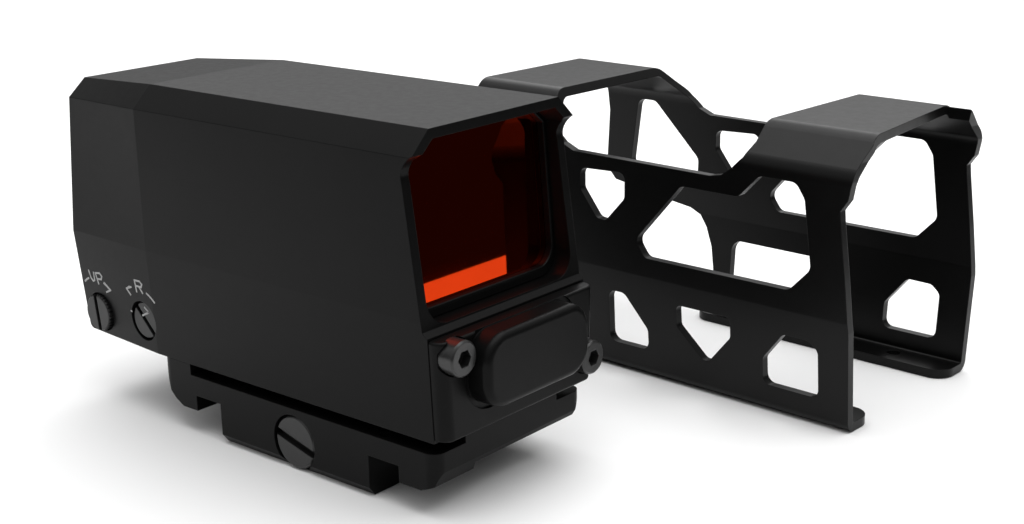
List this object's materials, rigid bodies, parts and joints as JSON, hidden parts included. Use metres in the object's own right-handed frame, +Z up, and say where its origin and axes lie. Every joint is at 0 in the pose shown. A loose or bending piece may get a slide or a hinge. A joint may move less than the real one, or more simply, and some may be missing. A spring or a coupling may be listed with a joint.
{
  "type": "enclosed red dot sight",
  "caption": "Box-shaped enclosed red dot sight on a rail clamp, with coin-slot adjusters, a front battery cover and its slide-on sheet guard standing beside it.",
  "frame": {"origin": "on the face that rests on the rail, midway across it, at the axis of the clamp screw", "axes": "+X forward to the front window, -Y the side with the two adjusters, +Z up"},
  "size_m": [0.1516, 0.1421, 0.0732],
  "materials": {
    "black_anodised": "matte hard anodised",
    "guard_black": "satin anodised bent sheet",
    "dial_black": "satin anodised",
    "ruby_glass": "ruby anti-reflection coating",
    "clear_glass": "clear",
    "seal_rubber": "matte",
    "bare_aluminium": "machined",
    "wedge_brass": "machined",
    "plain_steel": "ground",
    "screw_black": "black oxide",
    "board_green": "solder mask",
    "chip_black": "moulded",
    "tray_plastic": "moulded",
    "cell_wrap": "printed sleeve",
    "led_clear": "clear case",
    "button_rubber": "matte moulded"
  },
  "bodies": {
    "sight": {"housing": "black_anodised", "front_bezel": "black_anodised", "rear_bezel": "black_anodised", "base": "black_anodised", "button_panel": "black_anodised", "front_lens": "ruby_glass", "rear_lens": "clear_glass", "front_seal": "seal_rubber", "rear_seal": "seal_rubber", "adjuster_seals": "seal_rubber", "stage_rods": "plain_steel", "carriage_spring": "plain_steel", "positive_contact": "plain_steel", "negative_contact": "plain_steel", "main_board": "board_green", "switch_board": "board_green", "board_chips": "chip_black", "tact_switches": "chip_black", "board_spacers": "tray_plastic", "cell_tray": "tray_plastic", "cell": "cell_wrap", "panel_screws": "screw_black", "base_screws": "screw_black"},
    "elevation_adjuster": {"elevation_adjuster": "dial_black", "elevation_clip": "plain_steel"},
    "windage_adjuster": {"windage_adjuster": "dial_black", "windage_clip": "plain_steel"},
    "elevation_wedge": {"elevation_wedge": "wedge_brass"},
    "windage_carriage": {"windage_carriage": "bare_aluminium", "stage_pins": "plain_steel"},
    "emitter_holder": {"emitter_holder": "bare_aluminium", "emitter_board": "board_green", "led_emitter": "led_clear"},
    "up_button": {"up_button": "button_rubber"},
    "down_button": {"down_button": "button_rubber"},
    "battery_cover": {"battery_cover": "black_anodised", "cover_seal": "seal_rubber"},
    "near_cover_screw": {"near_cover_screw": "screw_black"},
    "far_cover_screw": {"far_cover_screw": "screw_black"},
    "clamp_screw": {"clamp_screw": "screw_black"},
    "clamp_jaw": {"clamp_jaw": "black_anodised", "clamp_nut": "screw_black"},
    "guard": {"guard": "guard_black"}
  },
  "joints": [
    {"name": "elevation_turn", "type": "hinge", "parent": "sight", "child": "elevation_adjuster", "pos_m": [-0.0626, -0.0189, 0.0125], "axis": [0, -1, 0], "range_deg": [-720, 720]},
    {"name": "wedge_travel", "type": "slide", "parent": "sight", "child": "elevation_wedge", "axis": [0, 1, 0], "range_m": [-0.0014, 0.0014]},
    {"name": "windage_turn", "type": "hinge", "parent": "sight", "child": "windage_adjuster", "pos_m": [-0.0461, -0.0194, 0.014], "axis": [0, -1, 0], "range_deg": [-360, 360]},
    {"name": "carriage_travel", "type": "slide", "parent": "sight", "child": "windage_carriage", "axis": [0, 1, 0], "range_m": [-0.0005, 0.0005]},
    {"name": "holder_lift", "type": "slide", "parent": "windage_carriage", "child": "emitter_holder", "axis": [0, 0, 1], "range_m": [-0.00035, 0.00035]},
    {"name": "up_press", "type": "slide", "parent": "sight", "child": "up_button", "axis": [1, 0, 0], "range_m": [0, 0.0008], "stiffness_N_per_m": 1200},
    {"name": "down_press", "type": "slide", "parent": "sight", "child": "down_button", "axis": [1, 0, 0], "range_m": [0, 0.0008], "stiffness_N_per_m": 1200},
    {"name": "cover_removal", "type": "slide", "parent": "sight", "child": "battery_cover", "axis": [1, 0, 0], "range_m": [0, 0.03]},
    {"name": "near_screw_turn", "type": "hinge", "parent": "battery_cover", "child": "near_cover_screw", "pos_m": [0.042, -0.0188, 0.0242], "axis": [1, 0, 0], "range_deg": [0, 1800]},
    {"name": "far_screw_turn", "type": "hinge", "parent": "battery_cover", "child": "far_cover_screw", "pos_m": [0.042, 0.0193, 0.0134], "axis": [1, 0, 0], "range_deg": [0, 1800]},
    {"name": "clamp_turn", "type": "hinge", "parent": "sight", "child": "clamp_screw", "pos_m": [0, -0.02, -0.0023], "axis": [0, -1, 0], "range_deg": [0, 1080]},
    {"name": "jaw_travel", "type": "slide", "parent": "sight", "child": "clamp_jaw", "axis": [0, 1, 0], "range_m": [0, 0.0024]},
    {"name": "guard_removal", "type": "slide", "parent": "sight", "child": "guard", "axis": [0.9985, -0.0541, 0], "range_m": [0, 0.07]}
  ],
  "couplings": [
    {"joint": "elevation_turn", "follows": "wedge_travel", "rad_per_m": 8975.1},
    {"joint": "holder_lift", "follows": "wedge_travel", "ratio": 0.24998},
    {"joint": "windage_turn", "follows": "carriage_travel", "rad_per_m": 12565},
    {"joint": "clamp_turn", "follows": "jaw_travel", "rad_per_m": 7853.2}
  ]
}
